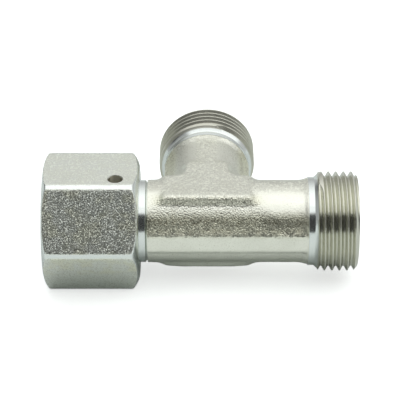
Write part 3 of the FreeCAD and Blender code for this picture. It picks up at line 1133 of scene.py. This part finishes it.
def floor_material(tone):
    """Pale floor, white where the camera sees it unshaded, brighter in front for what mirrors it."""
    made, paint = new_material("pale_floor")
    _, (_, y, _) = paint.place()
    card = paint.mix(y.above(-14, -9), (1, 1, 1), (0.05, 0.05, 0.05))
    surface = paint.node("ShaderNodeBsdfDiffuse", None, {"Color": rgba(tone)})
    for shade, strength in ((WHITE, paint.ray("Is Camera Ray") * 0.62), (card, paint.ray("Is Glossy Ray") * 0.14)):
        glow = paint.node("ShaderNodeEmission", None, {"Color": shade, "Strength": strength})
        surface = paint.node("ShaderNodeAddShader", None, {0: surface.outputs[0], 1: glow.outputs[0]})
    paint.node("ShaderNodeOutputMaterial", None, {"Surface": surface.outputs[0]})
    return made


def studio_world():
    """Backdrop rising to two long soft boxes overhead, a dark room with a window in front; white to the camera.

    The angle runs in degrees from the horizon behind the tee over the zenith to the horizon in front.
    """
    world = bpy.data.worlds.new("studio")
    world.use_nodes = True
    paint = Paint(world.node_tree)
    x, y, z = paint.axes(paint.node("ShaderNodeTexCoord").outputs["Generated"])
    angle = paint.math("ARCTAN2", z, y) * (180 / math.pi)
    backdrop = 0.52 + angle.above(5, 88) * 0.88
    seam = angle.within(111.2, 113.2, 0.5)
    second = angle.above(112, 113)
    shaded = (0 - x).above(0.5, 0.65)
    boxes = backdrop * (1 - seam * 0.3) * (1 - second * 0.12) * (1 - shaded * 0.65)
    window = x.within(0.64, 0.80, 0.03) * z.within(-0.05, 0.35, 0.05) * 0.45
    room = angle.above(126, 132.5)
    right, left = x.above(0.87, 0.97), (0 - x).above(0.87, 0.97)
    glow = boxes * (1 - room) + room * (0.05 + window)
    glow = glow * (1 - right - left) + right * 0.6 + left * 0.4
    seen = paint.ray("Is Camera Ray")
    strength = seen + (1 - seen) * glow
    back = paint.node("ShaderNodeBackground", None, {"Color": WHITE, "Strength": strength})
    paint.node("ShaderNodeOutputWorld", None, {"Surface": back.outputs[0]})
    return world


class TEE_OT_stage(Operator):
    """Makes the floor, the studio light and the camera"""

    bl_idname = "run_tee.stage"
    bl_label = "Stage"

    def execute(self, context):
        settings = context.scene.stage_settings
        floor = primitive(bpy.ops.mesh.primitive_circle_add, "floor", vertices=96, radius=4.0, fill_type="NGON",
                          location=(0, 0, NUT_LOW.z))
        floor.data.materials.append(floor_material(settings.floor))
        context.scene.world = studio_world()
        aim = Vector(settings.aim)
        forward = Vector((0, math.cos(settings.elevation), -math.sin(settings.elevation)))
        camera_data = bpy.data.cameras.new("camera")
        camera_data.lens = settings.lens
        camera_data.sensor_width = 36.0
        camera_data.clip_start = 0.01
        camera = bpy.data.objects.new("camera", camera_data)
        context.collection.objects.link(camera)
        camera.location = aim - forward * settings.distance
        camera.rotation_euler = forward.to_track_quat("-Z", "Y").to_euler()
        context.scene.camera = camera
        context.scene.view_settings.view_transform = "Standard"
        return {"FINISHED"}


OPERATORS = (
    TEE_OT_stage, TEE_OT_forging, TEE_OT_threaded_ends, TEE_OT_cone_nose, TEE_OT_hexagon_nut, TEE_OT_bent_wire,
    TEE_OT_rubber_ring,
)
GROUPS = {
    "forging_sizes": ForgingSizes,
    "end_sizes": EndSizes,
    "nose_sizes": NoseSizes,
    "nut_sizes": NutSizes,
    "finishes": Finishes,
    "stage_settings": StageSettings,
}


class TEE_PT_panel(Panel):
    """Lists the tee's pieces and their sizes and colours"""

    bl_idname = "TEE_PT_panel"
    bl_label = "Run Tee"
    bl_space_type = "VIEW_3D"
    bl_region_type = "UI"
    bl_category = "Run Tee"

    def draw(self, context):
        for operator in OPERATORS:
            self.layout.operator(operator.bl_idname)
        for group in GROUPS:
            box = self.layout.box()
            box.label(text=group.replace("_", " ").title())
            settings = getattr(context.scene, group)
            for key in settings.__annotations__:
                box.prop(settings, key)


def register():
    for group, kind in GROUPS.items():
        bpy.utils.register_class(kind)
        setattr(bpy.types.Scene, group, PointerProperty(type=kind))
    for operator in OPERATORS:
        bpy.utils.register_class(operator)
    bpy.utils.register_class(TEE_PT_panel)


def unregister():
    bpy.utils.unregister_class(TEE_PT_panel)
    for operator in reversed(OPERATORS):
        bpy.utils.unregister_class(operator)
    for group, kind in GROUPS.items():
        delattr(bpy.types.Scene, group)
        bpy.utils.unregister_class(kind)


def main():
    register()
    bpy.ops.run_tee.stage()
    bpy.ops.run_tee.forging()
    bpy.ops.run_tee.threaded_ends()
    bpy.ops.run_tee.cone_nose()
    bpy.ops.run_tee.hexagon_nut()
    bpy.ops.run_tee.bent_wire()
    bpy.ops.run_tee.rubber_ring()


if __name__ == "__main__":
    main()
